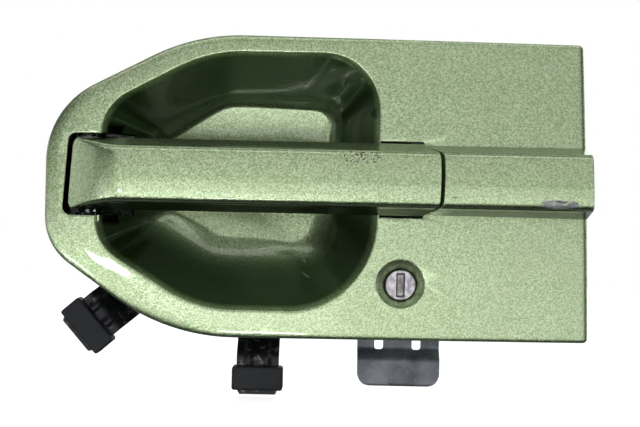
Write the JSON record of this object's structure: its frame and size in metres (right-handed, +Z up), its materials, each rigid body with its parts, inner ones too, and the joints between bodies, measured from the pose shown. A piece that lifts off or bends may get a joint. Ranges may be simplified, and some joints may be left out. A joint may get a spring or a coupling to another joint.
{
  "type": "car door handle",
  "caption": "Flush car door pull handle: green metallic escutcheon with a finger cup, a hinged strap grip, a key lock, hook lugs and a latch crank behind.",
  "frame": {"origin": "mid-length of the panel, on the strap centre line, in the plane of the door skin that the gasket seats on", "axes": "+X along the strap towards the lock end, +Y into the door, +Z up"},
  "size_m": [0.2285, 0.0733, 0.1517],
  "materials": {
    "panel_paint": "light green metallic base coat under clear lacquer on the moulded panel",
    "grip_paint": "the same light green metallic paint on the strap cover",
    "black_steel": "black electrocoated steel, worn at the edges",
    "zinc_steel": "zinc-plated steel, dull",
    "spring_steel": "dark phosphated spring steel, rubbed bright at the lip",
    "lock_metal": "worn die-cast zinc alloy",
    "rubber": "matt black rubber",
    "foam_rubber": "closed-cell black sealing foam",
    "nylon": "natural nylon"
  },
  "bodies": {
    "panel": {"escutcheon_panel": "panel_paint", "perimeter_gasket": "foam_rubber", "hinge_pin": "zinc_steel", "hinge_pin_ring": "spring_steel", "hinge_spacer": "nylon", "grip_return_spring": "zinc_steel", "grip_buffer_upper": "rubber", "grip_buffer_lower": "rubber", "mechanism_bracket": "black_steel", "bracket_screw_top": "zinc_steel", "bracket_screw_right": "zinc_steel", "bracket_screw_bottom": "zinc_steel", "crank_pin": "zinc_steel", "crank_pin_ring": "spring_steel", "crank_spring": "zinc_steel", "lock_barrel": "lock_metal", "lock_seal_ring": "rubber", "lock_return_spring": "zinc_steel", "lock_retaining_clip": "spring_steel", "hook_lug_left": "black_steel", "hook_lug_bottom": "black_steel", "lug_pad_left": "rubber", "lug_pad_bottom": "rubber", "lug_screw_left_outer": "zinc_steel", "lug_screw_left_inner": "zinc_steel", "lug_screw_bottom_outer": "zinc_steel", "lug_screw_bottom_inner": "zinc_steel", "stud_upper": "zinc_steel", "stud_rear": "zinc_steel", "stud_washer_upper": "zinc_steel", "stud_washer_rear": "zinc_steel", "stud_nut_upper": "zinc_steel", "stud_nut_rear": "zinc_steel"},
    "grip": {"grip_cover": "grip_paint", "grip_carrier": "black_steel", "hook_sleeve": "nylon", "grip_screw_left": "zinc_steel", "grip_screw_right": "zinc_steel"},
    "bell_crank": {"bell_crank": "zinc_steel", "crank_bush": "nylon", "counterweight": "zinc_steel"},
    "rod_clip": {"rod_clip": "nylon"},
    "lock_plug": {"lock_plug": "lock_metal", "lock_face_cap": "lock_metal", "lock_tail_lever": "zinc_steel", "lock_tail_ring": "spring_steel"},
    "key_shutter": {"key_shutter": "lock_metal"}
  },
  "joints": [
    {"name": "grip_hinge", "type": "hinge", "parent": "panel", "child": "grip", "pos_m": [-0.097, 0.003, 0], "axis": [0, 0, -1], "range_deg": [0, 9], "stiffness_Nm_per_rad": 3, "springref_deg": -5.73, "deforming": ["grip_return_spring"]},
    {"name": "bell_crank_turn", "type": "hinge", "parent": "panel", "child": "bell_crank", "pos_m": [0.043, 0.02, 0.024], "axis": [-1, 0, 0], "range_deg": [0, 46], "stiffness_Nm_per_rad": 0.1, "springref_deg": -17.19},
    {"name": "rod_clip_turn", "type": "hinge", "parent": "bell_crank", "child": "rod_clip", "pos_m": [0.0498, 0.03732, 0.034], "axis": [1, 0, 0], "range_deg": [-50, 50]},
    {"name": "key_turn", "type": "hinge", "parent": "panel", "child": "lock_plug", "pos_m": [0.036, 0, -0.044], "axis": [0, 1, 0], "range_deg": [-65, 65], "stiffness_Nm_per_rad": 0.08},
    {"name": "key_shutter_flap", "type": "hinge", "parent": "lock_plug", "child": "key_shutter", "pos_m": [0.0346, -0.0031, -0.044], "axis": [0, 0, 1], "range_deg": [0, 70], "stiffness_Nm_per_rad": 0.0005, "springref_deg": -11.46}
  ],
  "couplings": [
    {"joint": "bell_crank_turn", "follows": "grip_hinge", "ratio": 5.11}
  ]
}
